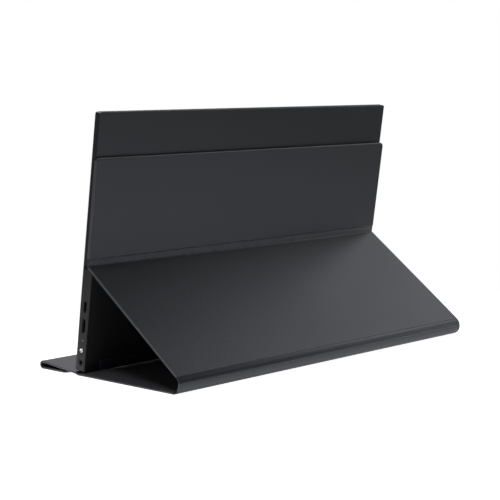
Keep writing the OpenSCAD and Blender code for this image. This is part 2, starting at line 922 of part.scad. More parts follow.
module flap_board() {
    color(card) flap_place() difference() {
        panel_core(flap_len, base_t, [0, 1]);
        for (x = flap_magnet_x) translate([x - flap_magnet_w / 2 - fit, flap_magnet_down - fit, -1])
            cube([flap_magnet_w + 2 * fit, flap_magnet_h + 2 * fit, base_t + 2]);
    }
}

module flap_magnets() {
    color(steel) flap_place() for (x = flap_magnet_x)
        translate([x - flap_magnet_w / 2, flap_magnet_down, skin_t])
            cube([flap_magnet_w, flap_magnet_h, base_t - skin_t - lining_t]);
}

module flap_lining() {
    color(lining_grey) flap_place() panel_lining(flap_len, base_t, [0, 1]);
}

// Creases

// Angle that leaves the seam's gap at a radius
function seam_angle(r) = atan2(seam, r);

module crease_top() {
    flat_end = on_back(upper_d - band_recess, crease_s + band_len - seam);
    flat_in = on_back(upper_d - band_recess - crease_t, crease_s + band_len - seam);
    a0 = 180 - tilt;
    a1 = 270 - slope_a - seam_angle(top_r);
    function round_part(r) = [for (i = [0 : 10]) let (a = a0 + (a1 - a0) * i / 10)
        top_axis + r * [cos(a), sin(a)]];
    inner = round_part(top_r + crease_t);
    color(leather_grey) across(cover_w)
        polygon(concat([flat_end], round_part(top_r), [for (i = [10 : -1 : 0]) inner[i]], [flat_in]));
}

module crease_spine_upper() {
    seam_a = seam_angle(spine_r - slope_t);
    r = spine_r - crease_recess;
    color(leather_grey) bent(spine_axis, r - crease_t, r, spine_a1 + seam_a, spine_top - seam_a, cover_w);
}

module crease_spine_lower() {
    seam_a = seam_angle(spine_r - slope_t);
    r = spine_r - low_recess;
    color(leather_grey) bent(spine_axis, r - crease_t, r, -90 + seam_a, spine_a0 - seam_a, cover_w);
}

module crease_groove() {
    lift = 0.3;
    lip_edge = [lip_start + seam, lip_z];
    up = [sin(lip_a), cos(lip_a)];
    color(leather_grey) across(cover_w) polygon([
        [base_end - seam, lift], [base_end - seam, lift + crease_t],
        lip_edge + (lift + crease_t) * up, lip_edge + lift * up
    ]);
}

module crease_nose() {
    seam_a = seam_angle(nose_in);
    color(lining_grey)
        bent([nose_y, nose_r], nose_in, nose_r, 90 - lip_a + seam_a, 270 - seam_a, cover_w);
}

front_bezel();
panel_tape();
lcd_cell();
diffuser_sheet();
prism_sheet();
light_guide();
reflector_sheet();
led_strip();
panel_frame();
panel_backplate();
panel_board();
panel_cable();
rear_cover();
keeper_plates();
lower_housing();
rubber_foot();
housing_screws();
main_board();
board_chips();
heat_spreader();
board_screws();
video_socket();
usb_sockets();
audio_jack();
power_button();
power_switch();
status_light();
menu_rocker();
key_board();
board_cable();
speakers();
speaker_wires();
upper_skin();
upper_board();
upper_magnets();
upper_lining();
slope_skin();
slope_board();
slope_lining();
spine_skin();
spine_board();
spine_lining();
base_skin();
base_board();
base_lining();
lip_skin();
lip_board();
lip_lining();
flap_skin();
flap_board();
flap_magnets();
flap_lining();
crease_top();
crease_spine_upper();
crease_spine_lower();
crease_groove();
crease_nose();
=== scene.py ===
"""Looks of the portable monitor standing in its folded cover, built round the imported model."""

import math

import bmesh
import bpy
from mathutils import Matrix, Vector


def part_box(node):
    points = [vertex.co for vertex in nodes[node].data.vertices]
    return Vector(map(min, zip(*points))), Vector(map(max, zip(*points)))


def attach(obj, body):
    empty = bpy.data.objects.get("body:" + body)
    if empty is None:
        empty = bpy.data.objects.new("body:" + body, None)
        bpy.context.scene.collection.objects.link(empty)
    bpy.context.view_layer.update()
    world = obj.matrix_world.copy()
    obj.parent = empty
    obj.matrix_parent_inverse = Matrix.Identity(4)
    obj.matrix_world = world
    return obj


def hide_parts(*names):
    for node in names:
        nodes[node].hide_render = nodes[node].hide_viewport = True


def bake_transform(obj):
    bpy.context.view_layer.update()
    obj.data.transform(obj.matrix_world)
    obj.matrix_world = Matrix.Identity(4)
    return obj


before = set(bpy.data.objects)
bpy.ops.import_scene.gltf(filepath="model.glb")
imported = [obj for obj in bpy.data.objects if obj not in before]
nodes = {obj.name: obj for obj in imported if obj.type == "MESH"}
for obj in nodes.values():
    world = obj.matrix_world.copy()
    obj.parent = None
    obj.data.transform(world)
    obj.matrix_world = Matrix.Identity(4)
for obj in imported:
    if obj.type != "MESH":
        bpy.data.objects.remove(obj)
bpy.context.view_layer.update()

MM = 0.001
# Places nearer than this are the same place
NEAR = 1e-6
X, Z = Vector((1, 0, 0)), Vector((0, 0, 1))


# Colours and nodes

def srgb(hex_colour):
    """Linear colour of a hex value."""
    parts = [int(hex_colour[i:i + 2], 16) / 255 for i in (1, 3, 5)]
    return tuple(c / 12.92 if c <= 0.04045 else ((c + 0.055) / 1.055) ** 2.4 for c in parts) + (1,)


def add(owner, kind, inputs=None, **settings):
    """Adds a node to a material or a world, with its own settings. Inputs go by name or number, and
    each is a value, or the node or output that feeds it."""
    tree = owner.node_tree
    node = tree.nodes.new(kind)
    for key, value in settings.items():
        setattr(node, key, value)
    for key, value in (inputs or {}).items():
        if isinstance(value, bpy.types.Node):
            value = value.outputs[0]
        if isinstance(value, bpy.types.NodeSocket):
            tree.links.new(value, node.inputs[key])
        else:
            node.inputs[key].default_value = value
    return node


def new_material(name):
    """A material with no nodes yet."""
    material = bpy.data.materials.new(name)
    material.use_nodes = True
    material.node_tree.nodes.clear()
    return material


def place_in_mm(material):
    """Where a point lies on its piece, in millimetres."""
    where = add(material, "ShaderNodeTexCoord").outputs["Object"]
    return add(material, "ShaderNodeVectorMath", {0: where, "Scale": 1 / MM}, operation="SCALE")


# Materials

# A noise's values crowd round 0.5, so Map Range nodes widen these ranges of it
COLOUR_RANGE = {"From Min": 0.35, "From Max": 0.65}
SHINE_RANGE = {"From Min": 0.3, "From Max": 0.7}
# The coating's shine is a little blue
COOL_CAST = (0.8, 0.865, 1, 1)


def coated_leatherette():
    """Polyurethane leatherette: near black, with an embossed pebble grain that breaks up a soft
    satin shine with a cool cast. Along its turned edges its colour is painted paler grey: a painted
    highlight, with a little wear. Pebbles of 1.5 mm are drawn coarser than the real 0.6 mm, so
    that they show."""
    m = new_material("coated_leatherette")
    where = place_in_mm(m)
    blotches = add(m, "ShaderNodeTexNoise", {"Vector": where, "Scale": 1 / 60})
    tone = add(m, "ShaderNodeMapRange", {"Value": blotches, **COLOUR_RANGE},
               interpolation_type="SMOOTHSTEP")
    coating = add(m, "ShaderNodeMix", {0: tone, 6: srgb("#1b1c1e"), 7: srgb("#1e1f21")},
                  data_type="RGBA")
    edge_highlight_and_wear = add(m, "ShaderNodeAttribute", attribute_name="edge_highlight_and_wear").outputs["Fac"]
    # Painted highlight, with a little wear: the marked turned edges are coloured paler grey, #626366
    colour = add(m, "ShaderNodeMix", {0: edge_highlight_and_wear, 6: coating.outputs[2], 7: srgb("#626366")},
                 data_type="RGBA")
    satin = add(m, "ShaderNodeMapRange", {"Value": blotches, **SHINE_RANGE,
                                          "To Min": 0.465, "To Max": 0.485},
                interpolation_type="SMOOTHSTEP")
    pebbles = add(m, "ShaderNodeTexVoronoi", {"Vector": where, "Scale": 1 / 1.5},
                  feature="SMOOTH_F1")
    grain = add(m, "ShaderNodeBump", {"Height": pebbles, "Distance": 0.07 * MM})
    waves = add(m, "ShaderNodeTexNoise", {"Vector": where, "Scale": 1 / 2.4})
    surface = add(m, "ShaderNodeBump", {"Height": waves, "Distance": 0.05 * MM, "Normal": grain})
    shader = add(m, "ShaderNodeBsdfPrincipled",
                 {"Base Color": colour.outputs[2], "Roughness": satin, "Normal": surface,
                  "IOR": 1.5, "Specular Tint": COOL_CAST})
    add(m, "ShaderNodeOutputMaterial", {"Surface": shader})
    return m


def creased_leatherette():
    """The same leatherette where it is pressed down and folded: crumpled, with its grain stretched
    open, and a highlight painted on the tops of its small wrinkles, which are coloured paler.
    Wrinkles of 1 to 2 mm run along the fold."""
    m = new_material("creased_leatherette")
    where = place_in_mm(m)
    along = add(m, "ShaderNodeMapping", {"Vector": where, "Scale": (0.45, 1, 1)})
    wrinkles = add(m, "ShaderNodeTexNoise",
                   {"Vector": along, "Scale": 1 / 1.1, "Detail": 3, "Roughness": 0.65})
    tone = add(m, "ShaderNodeMapRange", {"Value": wrinkles, **COLOUR_RANGE},
               interpolation_type="SMOOTHSTEP")
    # Painted highlight: the higher a wrinkle, the paler its colour, from #1c1d1f to #404144
    colour = add(m, "ShaderNodeMix", {0: tone, 6: srgb("#1c1d1f"), 7: srgb("#404144")},
                 data_type="RGBA")
    satin = add(m, "ShaderNodeMapRange", {"Value": wrinkles, **SHINE_RANGE,
                                          "To Min": 0.42, "To Max": 0.55},
                interpolation_type="SMOOTHSTEP")
    pebbles = add(m, "ShaderNodeTexVoronoi", {"Vector": where, "Scale": 1 / 0.9},
                  feature="SMOOTH_F1")
    grain = add(m, "ShaderNodeBump", {"Height": pebbles, "Distance": 0.04 * MM})
    surface = add(m, "ShaderNodeBump", {"Height": wrinkles, "Distance": 0.12 * MM, "Normal": grain})
    shader = add(m, "ShaderNodeBsdfPrincipled",
                 {"Base Color": colour.outputs[2], "Roughness": satin, "Normal": surface,
                  "IOR": 1.5, "Specular Tint": COOL_CAST})
    add(m, "ShaderNodeOutputMaterial", {"Surface": shader})
    return m


def microfibre_lining():
    """Brushed microfibre cloth: dark grey and matt with a fine speckle of its fibres, and much
    paler at a low angle, where the nap catches the light. Speckles are drawn at 0.6 mm, coarser
    than the fibres, so that they show."""
    m = new_material("microfibre_lining")
    where = place_in_mm(m)
    speckle = add(m, "ShaderNodeTexNoise",
                  {"Vector": where, "Scale": 1 / 0.6, "Detail": 3, "Roughness": 0.7})
    tone = add(m, "ShaderNodeMapRange", {"Value": speckle, **COLOUR_RANGE},
               interpolation_type="SMOOTHSTEP")
    colour = add(m, "ShaderNodeMix", {0: tone, 6: srgb("#2f3033"), 7: srgb("#4b4b50")},
                 data_type="RGBA")
    nap = add(m, "ShaderNodeTexNoise", {"Vector": where, "Scale": 1 / 18})
    matt = add(m, "ShaderNodeMapRange", {"Value": nap, **SHINE_RANGE,
                                         "To Min": 0.48, "To Max": 0.56},
               interpolation_type="SMOOTHSTEP")
    surface = add(m, "ShaderNodeBump", {"Height": speckle, "Distance": 0.02 * MM})
    shader = add(m, "ShaderNodeBsdfPrincipled",
                 {"Base Color": colour.outputs[2], "Roughness": matt, "Normal": surface, "IOR": 1.5,
                  "Sheen Weight": 0.35, "Sheen Roughness": 0.35})
    add(m, "ShaderNodeOutputMaterial", {"Surface": shader})
    return m


def moulded_plastic(name, dark, light, roughness, grit, depth):
    """Injection moulded ABS with a spark-eroded texture: fine even grit that scatters the shine, a
    little more or less where hands have been."""
    m = new_material(name)
    where = place_in_mm(m)
    texture = add(m, "ShaderNodeTexNoise",
                  {"Vector": where, "Scale": 1 / grit, "Detail": 3, "Roughness": 0.6})
    tone = add(m, "ShaderNodeMapRange", {"Value": texture, **COLOUR_RANGE},
               interpolation_type="SMOOTHSTEP")
    colour = add(m, "ShaderNodeMix", {0: tone, 6: srgb(dark), 7: srgb(light)}, data_type="RGBA")
    handling = add(m, "ShaderNodeTexNoise", {"Vector": where, "Scale": 1 / 60})
    shine = add(m, "ShaderNodeMapRange", {"Value": handling, **SHINE_RANGE,
                                          "To Min": roughness - 0.04, "To Max": roughness + 0.04},
                interpolation_type="SMOOTHSTEP")
    surface = add(m, "ShaderNodeBump", {"Height": texture, "Distance": depth * MM})
    shader = add(m, "ShaderNodeBsdfPrincipled",
                 {"Base Color": colour.outputs[2], "Roughness": shine, "Normal": surface,
                  "IOR": 1.5})
    add(m, "ShaderNodeOutputMaterial", {"Surface": shader})
    return m


def screen_glass():
    """Display cell under a matt hard-coated film: black when it is off, with a soft veiled
    shine."""
    m = new_material("screen_glass")
    haze = add(m, "ShaderNodeTexNoise", {"Vector": place_in_mm(m), "Scale": 1 / 0.6})
    veil = add(m, "ShaderNodeMapRange", {"Value": haze, **SHINE_RANGE,
                                         "To Min": 0.3, "To Max": 0.36},
               interpolation_type="SMOOTHSTEP")
    surface = add(m, "ShaderNodeBump", {"Height": haze, "Distance": 0.002 * MM})
    shader = add(m, "ShaderNodeBsdfPrincipled",
                 {"Base Color": srgb("#050608"), "Roughness": veil, "Normal": surface, "IOR": 1.4})
    add(m, "ShaderNodeOutputMaterial", {"Surface": shader})
    return m


def plain(name, dark, light, size, low, high, depth, metallic=0.0):
    """A simple finish: two close colours in blotches of a size in millimetres, a roughness between
    two limits and a light texture of a depth in millimetres."""
    m = new_material(name)
    grain = add(m, "ShaderNodeTexNoise", {"Vector": place_in_mm(m), "Scale": 1 / size, "Detail": 3})
    tone = add(m, "ShaderNodeMapRange", {"Value": grain, **COLOUR_RANGE},
               interpolation_type="SMOOTHSTEP")
    colour = add(m, "ShaderNodeMix", {0: tone, 6: srgb(dark), 7: srgb(light)}, data_type="RGBA")
    shine = add(m, "ShaderNodeMapRange", {"Value": grain, **SHINE_RANGE,
                                          "To Min": low, "To Max": high},
                interpolation_type="SMOOTHSTEP")
    surface = add(m, "ShaderNodeBump", {"Height": grain, "Distance": depth * MM})
    shader = add(m, "ShaderNodeBsdfPrincipled",
                 {"Base Color": colour.outputs[2], "Roughness": shine, "Normal": surface,
                  "Metallic": metallic})
    add(m, "ShaderNodeOutputMaterial", {"Surface": shader})
    return m


LEATHER = coated_leatherette()
CREASED = creased_leatherette()
LINING = microfibre_lining()
# Aluminium, bead blasted and anodised dark grey: an even matt metal with a very fine sparkle
BACK = plain("blasted_anodised_aluminium", "#35373a", "#3b3d40", 0.35, 0.46, 0.54, 0.006, 1)
# Textured ABS of the lower housing, and the finer satin ABS of the bezel
HOUSING = moulded_plastic("textured_housing", "#131314", "#181819", 0.58, 0.35, 0.015)
BEZEL = moulded_plastic("satin_bezel_plastic", "#141415", "#19191a", 0.42, 0.3, 0.008)
SCREEN = screen_glass()
# Moulded rubber: blue black with a dull face, its colour painted paler and bluer as a painted
# highlight
RUBBER = plain("moulded_rubber", "#262a32", "#333842", 1.5, 0.5, 0.65, 0.02)
# Optical plastic sheet: milky white and smooth
SHEET = plain("optical_sheet", "#dcdce0", "#e8e8ea", 8, 0.3, 0.4, 0.002)
# Lamps under yellow phosphor on a white strip
LAMPS = plain("lamp_phosphor", "#d8c88a", "#e6d9a6", 1.0, 0.4, 0.5, 0.005)
# Pressed zinc-plated steel: grey and slightly clouded
STEEL = plain("plated_steel", "#8e9196", "#a3a6aa", 4, 0.3, 0.45, 0.004, 1)
# Turned and polished metal: bright, with a faint bloom
POLISHED = plain("polished_metal", "#d3d4d6", "#e2e3e4", 1.2, 0.14, 0.24, 0.001, 1)
# Black nickel plate on drawn steel: dark, with a soft metallic shine
NICKEL = plain("black_nickel", "#3f4043", "#4b4c50", 1.0, 0.28, 0.38, 0.001, 1)
# Circuit board under green solder mask: satin, slightly mottled by the copper beneath
BOARD = plain("solder_mask", "#0d3a20", "#14512d", 2.5, 0.3, 0.42, 0.01)
# Moulded chip package: matt black epoxy
CHIP = plain("chip_epoxy", "#131314", "#1b1b1d", 0.4, 0.55, 0.65, 0.01)
# Flat cable under amber film
FILM = plain("cable_film", "#8a6a24", "#a07e33", 3, 0.25, 0.35, 0.002)
# Grey bookbinding board: matt and fibrous
CARD = plain("grey_card", "#7d7565", "#938b79", 0.8, 0.85, 0.95, 0.03)
# Black moulded nylon of the sockets' tongues
TONGUE = plain("socket_nylon", "#0c0c0d", "#121213", 0.5, 0.4, 0.5, 0.003)
# Gold-plated contacts
GOLD = plain("gold_contacts", "#d4ab55", "#e0bb6a", 0.8, 0.2, 0.3, 0.001, 1)

SLOT_MATERIALS = {
    "bezel_plastic": BEZEL, "screen_glass": SCREEN, "anodised_back": BACK,
    "housing_plastic": HOUSING, "sheet_plastic": SHEET, "lamp_strip": LAMPS, "plain_steel": STEEL,
    "polished_metal": POLISHED, "circuit_board": BOARD, "chip_plastic": CHIP, "cable_film": FILM,
    "foot_rubber": RUBBER, "leatherette": LEATHER, "lining_cloth": LINING, "stiff_card": CARD,
}
for node in nodes.values():
    first_slot = node.material_slots[0]
    first_slot.material = SLOT_MATERIALS[first_slot.material.name.split(".")[0]]


# Meshes

SHARP_ANGLE = math.radians(40)
# Cosines from which an edge runs along a direction, and a face looks in one
ALONG, FACING = 0.999, 0.9


def piece(name, bm, material, slot, body, *replaced):
    """A finished piece from a bmesh, which rides on a body and stands for the CAD nodes named
    last."""
    bmesh.ops.recalc_face_normals(bm, faces=bm.faces)
    # That can take the inner side of a bent strip for the outer one, which makes its volume negative
    if bm.calc_volume(signed=True) < 0:
        bmesh.ops.reverse_faces(bm, faces=bm.faces)
    mesh = bpy.data.meshes.new(name)
    bm.to_mesh(mesh)
    bm.free()
    obj = bpy.data.objects.new(name, mesh)
    bpy.context.scene.collection.objects.link(obj)
    mesh.materials.append(material)
    mesh.shade_smooth()
    mesh.set_sharp_from_angle(angle=SHARP_ANGLE)
    if body:
        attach(obj, body)
    if replaced:
        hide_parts(*replaced)
    return obj


def bevel(bm, edges, size, segments):
    bmesh.ops.bevel(bm, geom=edges, offset=size, offset_type="OFFSET", segments=segments,
                    profile=0.5, affect="EDGES", material=-1)


def box_from(bm, low, high):
    """Adds a box between two corners."""
    low, high = Vector(low), Vector(high)
    made = bmesh.ops.create_cube(bm, size=1)["verts"]
    bmesh.ops.scale(bm, vec=high - low, verts=made)
    bmesh.ops.translate(bm, vec=(low + high) / 2, verts=made)
    return made


def edges_along(bm, way):
    """The edges that run along a direction."""
    return [e for e in bm.edges
            if abs((e.verts[1].co - e.verts[0].co).normalized().dot(way)) > ALONG]


def far_face(bm, way):
    """The largest of the faces that lie furthest in a direction."""
    return max(bm.faces, key=lambda f: (round(f.calc_center_median().dot(way) / NEAR),
                                        f.calc_area()))


def middle(points):
    return sum(points, Vector()) / len(points)


def section_of(node):
    """A CAD node's points as they lie in the drawing of depth and height."""
    flat = {(round(v.co.y, 6), round(v.co.z, 6)) for v in nodes[node].data.vertices}
    return [Vector((0, y, z)) for y, z in sorted(flat)]


def spread(points, way):
    """Lowest and highest reach of points in a direction."""
    reach = [p.dot(way) for p in points]
    return min(reach), max(reach)


# Folded cover

COVER_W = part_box("slope_skin")[1][0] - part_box("slope_skin")[0][0]
SKIN_T, LINING_T = 0.5 * MM, 0.4 * MM
TURN_IN, STEP_SLOPE = 1.4 * MM, 0.02 * MM
LINING_TRIM = 0.25 * MM
PANEL_R = 4 * MM
OUTER_ROUND, INNER_ROUND, LINING_ROUND = 0.75 * MM, 0.2 * MM, 0.15 * MM
FLAT_RING = 0.3 * MM
SPINE_AXIS, SPINE_R, SPINE_T = Vector((0, 78.718, 8.3)) * MM, 8.3 * MM, 2 * MM
SPINE_START, SPINE_END = math.radians(-43.315), math.radians(6.685)
SPINE_STRIPS, CREASE_STRIPS = 12, 10
CREASE_SIDE_ROUND, CREASE_ROUND = 0.25 * MM, 0.35 * MM
# Angles between a crease's faces, in radians: below the first they are one face, and above the
# second they meet in a border
ONE_FACE, BORDER = math.radians(0.5), 1.2


def panel_place(name):
    """Matrix that puts a panel drawn flat where its CAD skin lies, and its length and thickness.
    Drawn flat, X runs along the width, Y along the length and Z from outer face to lining."""
    skin, lining = section_of(name + "_skin"), section_of(name + "_lining")
    ways = [(p - q).normalized() for p in skin for q in skin if (p - q).length > 5 * MM]

    def thickness(way):
        low, high = spread(skin, X.cross(way))
        return high - low

    along = min(ways, key=thickness)
    if X.cross(along).dot(middle(lining) - middle(skin)) < 0:
        along = -along
    inward = X.cross(along)
    (y0, y1), (z0, z1) = spread(skin, along), spread(skin, inward)
    place = Matrix((X, along, inward)).transposed().to_4x4()
    place.translation = y0 * along + z0 * inward
    return place, y1 - y0, z1 - z0


def flat_blank(width, length, thick, free_ends, radius):
    """A flat board of a panel's outline, with the corners of its free ends rounded. Free ends are
    given as -1 for the start and 1 for the end."""
    bm = bmesh.new()
    box_from(bm, (-width / 2, 0, 0), (width / 2, length, thick))
    corners = [e for e in edges_along(bm, Z)
               for end in free_ends if (e.verts[0].co.y - length / 2) * end > 0]
    if corners:
        bevel(bm, corners, radius, segments=6)
    bm.normal_update()
    return bm


def rim_edges(bm, height):
    """The edges round a flat blank's outline at one height."""
    return [e for e in bm.edges if all(abs(v.co.z - height) < NEAR for v in e.verts)
            and any(abs(f.normal.z) < 0.5 for f in e.link_faces)]


def keep_flat(bm, way):
    """Rings the largest face that way with a narrow border, so that its shading stays flat."""
    bm.normal_update()
    bmesh.ops.inset_region(bm, faces=[far_face(bm, way)], thickness=FLAT_RING,
                           use_even_offset=True)


def skin_blank(length, thick, free_ends):
    """Leather of one panel, drawn flat: a shallow tray whose edges are turned in round the board,
    and a step lower there than the lining that is glued over them. Its sides and free ends are
    marked for the painted edge highlight, with a little wear."""
    rim = thick - LINING_T
    bm = flat_blank(COVER_W, length, rim, free_ends, PANEL_R)
    edge_highlight_and_wear = bm.verts.layers.float.new("edge_highlight_and_wear")
    bevel(bm, rim_edges(bm, 0), OUTER_ROUND, segments=4)
    # Marks the outer edges of the sides and free ends, where a highlight is painted with a little
    # wear
    for v in bm.verts:
        at_side = abs(v.co.x) > COVER_W / 2 - OUTER_ROUND
        at_end = any((v.co.y - length / 2) * end > length / 2 - OUTER_ROUND for end in free_ends)
        v[edge_highlight_and_wear] = float(v.co.z > NEAR and (at_side or at_end))
    keep_flat(bm, -Z)
    bm.normal_update()
    bevel(bm, rim_edges(bm, rim), INNER_ROUND, segments=3)
    bm.normal_update()
    floor = far_face(bm, Z)
    bmesh.ops.inset_region(bm, faces=[floor], thickness=TURN_IN - INNER_ROUND,
                           use_even_offset=True)
    bmesh.ops.inset_region(bm, faces=[floor], thickness=STEP_SLOPE, depth=SKIN_T - rim,
                           use_even_offset=True)
    return bm


def lining_blank(length, thick, free_ends):
    """Lining of one panel, drawn flat, trimmed a little inside the panel's edge."""
    bm = flat_blank(COVER_W - 2 * LINING_TRIM, length - 2 * LINING_TRIM, LINING_T, free_ends,
                    PANEL_R - LINING_TRIM)
    bevel(bm, rim_edges(bm, LINING_T), LINING_ROUND, segments=3)
    keep_flat(bm, Z)
    bmesh.ops.translate(bm, vec=(0, LINING_TRIM, thick - LINING_T), verts=bm.verts)
    return bm


def cut_at(bm, point, way):
    """Cuts a mesh across, so that it can bend there."""
    everything = list(bm.verts) + list(bm.edges) + list(bm.faces)
    bmesh.ops.bisect_plane(bm, geom=everything, plane_co=point, plane_no=way)


def bend_round_spine(bm, length):
    """Cuts a flat blank into strips and bends it round the spine's axis."""
    for i in range(1, SPINE_STRIPS):
        cut_at(bm, (0, length * i / SPINE_STRIPS, 0), (0, 1, 0))
    for v in bm.verts:
        turn, reach = SPINE_START + v.co.y / SPINE_R, SPINE_R - v.co.z
        v.co = SPINE_AXIS + Vector((v.co.x, reach * math.cos(turn), reach * math.sin(turn)))


PANEL_LAYERS = ((skin_blank, "skin", LEATHER, "leatherette"),
                (lining_blank, "lining", LINING, "lining_cloth"))


def cover_panel(name, free_ends=()):
    """Skin and lining of one panel. Only the spine's is bent."""
    if name == "spine":
        length, thick = SPINE_R * (SPINE_END - SPINE_START), SPINE_T
    else:
        place, length, thick = panel_place(name)
    for blank, part, material, slot in PANEL_LAYERS:
        bm = blank(length, thick, free_ends)
        if name == "spine":
            bend_round_spine(bm, length)
        else:
            bmesh.ops.transform(bm, matrix=place, verts=bm.verts)
        piece(f"{name}_panel_{part}", bm, material, slot, f"cover_{name}", f"{name}_{part}")


def crease(node, start, end, material, slot):
    """A flexible strip between two panels: the CAD strip's form, cut finer along the fold and with
    its edges rounded."""
    bm = bmesh.new()
    bm.from_mesh(nodes[node].data)
    bmesh.ops.remove_doubles(bm, verts=bm.verts, dist=NEAR)
    bmesh.ops.dissolve_limit(bm, angle_limit=ONE_FACE, verts=bm.verts, edges=bm.edges)
    start, end = Vector(start) * MM, Vector(end) * MM
    for i in range(1, CREASE_STRIPS):
        cut_at(bm, start.lerp(end, i / CREASE_STRIPS), end - start)
    sides = [e for e in bm.edges if abs(e.verts[0].co.x - e.verts[1].co.x) < NEAR
             and any(abs(f.normal.x) > FACING for f in e.link_faces)
             and not all(abs(f.normal.x) > FACING for f in e.link_faces)]
    bevel(bm, sides, CREASE_SIDE_ROUND, segments=2)
    borders = [e for e in edges_along(bm, X)
               if len(e.link_faces) == 2 and e.calc_face_angle() > BORDER]
    bevel(bm, borders, CREASE_ROUND, segments=3)
    strip = piece(node + "_strip", bm, material, slot, None, node)
    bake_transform(strip)


for name, free_ends in (("upper", (1,)), ("slope", ()), ("spine", ()), ("base", ()), ("lip", ()),
                        ("flap", (-1,))):
    cover_panel(name, free_ends)

# Each fold, the bodies it joins, and where it begins and ends in millimetres
FOLDS = (
    ("crease_top", "cover_upper", "cover_slope", (0, -19.4, 93.6), (0, -19.13, 90.27)),
    ("crease_spine_upper", "cover_slope", "cover_spine", (0, 83.13, 14.24), (0, 86.07, 9.16)),
    ("crease_spine_lower", "cover_spine", "cover_base", (0, 84.28, 3.05), (0, 78.74, 0.65)),
    ("crease_groove", "cover_base", "cover_lip", (0, -36.97, 0.85), (0, -39.7, 1.84)),
    ("crease_nose", "cover_lip", "cover_flap", (0, -83.4, 5.94), (0, -83.62, 0.85)),
)
FOLD_FINISH = {"crease_top": (CREASED, "leatherette"), "crease_nose": (LINING, "lining_cloth")}
for node, start_body, end_body, start, end in FOLDS:
    material, slot = FOLD_FINISH.get(node, (LEATHER, "leatherette"))
    crease(node, start, end, material, slot)


# Sockets and button in the monitor's side

TILT = math.radians(9.4)
MONITOR_FOOT = Vector((0, -41.5502, 3.84659)) * MM
MONITOR = Matrix.Translation(MONITOR_FOOT) @ Matrix.Rotation(-TILT, 4, "X")
SOCKET_FACE = 177.6 * MM
SOCKET_D = 6.5 * MM
SOCKET_LEN = 9 * MM
SHELL_T, SHELL_FLOOR, SHELL_SLOPE, RIM_ROLL = 0.3 * MM, 1 * MM, 0.005 * MM, 0.09 * MM
VIDEO_HEIGHT, USB_HEIGHT = 39.4 * MM, 55.7 * MM
TONGUE_ROOT = SOCKET_FACE - SOCKET_LEN + 0.9 * MM
HALF_TONGUE, TONGUE_ROUND = 0.35 * MM, 0.14 * MM
# Contacts end short of the tongue, stand out of it, and take up a share of their pitch each way
CONTACT_LEN, CONTACT_SHORT, CONTACT_PROUD, CONTACT_SHARE = 3.6 * MM, 0.6 * MM, 0.03 * MM, 0.26
POWER_HEIGHT, POWER_D = 18.6 * MM, 6.1 * MM


def on_monitor(bm):
    """Moves a mesh drawn in the monitor's own width, depth and height to its place."""
    bmesh.ops.transform(bm, matrix=MONITOR, verts=bm.verts)
    return bm


def socket_shell(bm, height, width, thick, round_front, round_back, segments):
    """Adds a drawn steel cup that opens to the side, with its rim rolled over."""
    cup = bmesh.new()
    box_from(cup, (SOCKET_FACE - SOCKET_LEN, SOCKET_D - thick / 2, height - width / 2),
             (SOCKET_FACE, SOCKET_D + thick / 2, height + width / 2))
    for side, size in ((-1, round_front), (1, round_back)):
        corners = [e for e in edges_along(cup, X) if (e.verts[0].co.y - SOCKET_D) * side > 0]
        bevel(cup, corners, size, segments)
    cup.normal_update()
    mouth = far_face(cup, X)
    rim = list(mouth.edges)
    bmesh.ops.inset_region(cup, faces=[mouth], thickness=SHELL_T, use_even_offset=True)
    rim += list(mouth.edges)
    bmesh.ops.inset_region(cup, faces=[mouth], thickness=SHELL_SLOPE,
                           depth=SHELL_FLOOR - SOCKET_LEN, use_even_offset=True)
    bevel(cup, [e for e in rim if e.is_valid], RIM_ROLL, segments=2)
    mesh = bpy.data.meshes.new("cup")
    cup.to_mesh(mesh)
    cup.free()
    bm.from_mesh(mesh)
    bpy.data.meshes.remove(mesh)


def tongue(bm, height, width, length):
    """Adds the moulded tongue that carries a socket's contacts."""
    made = box_from(bm, (TONGUE_ROOT, SOCKET_D - HALF_TONGUE, height - width / 2),
                    (TONGUE_ROOT + length, SOCKET_D + HALF_TONGUE, height + width / 2))
    bevel(bm, list({e for v in made for e in v.link_edges}), TONGUE_ROUND, segments=2)


def contacts(bm, height, pitch, count, length, face):
    """Adds a row of plated contacts to one face of a tongue: -1 is the front, 1 the back."""
    end = TONGUE_ROOT + length - CONTACT_SHORT
    y = SOCKET_D + face * HALF_TONGUE
    for i in range(count):
        z = height + (i - (count - 1) / 2) * pitch
        box_from(bm, (end - CONTACT_LEN, y - CONTACT_PROUD, z - CONTACT_SHARE * pitch),
                 (end, y + CONTACT_PROUD, z + CONTACT_SHARE * pitch))


def copy_to_far_side(bm):
    """Mirrors the power and data socket's pieces, which lie above the video socket, to the other
    side."""
    split = (VIDEO_HEIGHT + USB_HEIGHT) / 2
    upper = [v for v in bm.verts if v.co.z > split]
    upper += [e for e in bm.edges if e.verts[0].co.z > split]
    upper += [f for f in bm.faces if f.verts[0].co.z > split]
    copied = bmesh.ops.duplicate(bm, geom=upper)["geom"]
    bmesh.ops.scale(bm, vec=(-1, 1, 1),
                    verts=[g for g in copied if isinstance(g, bmesh.types.BMVert)])


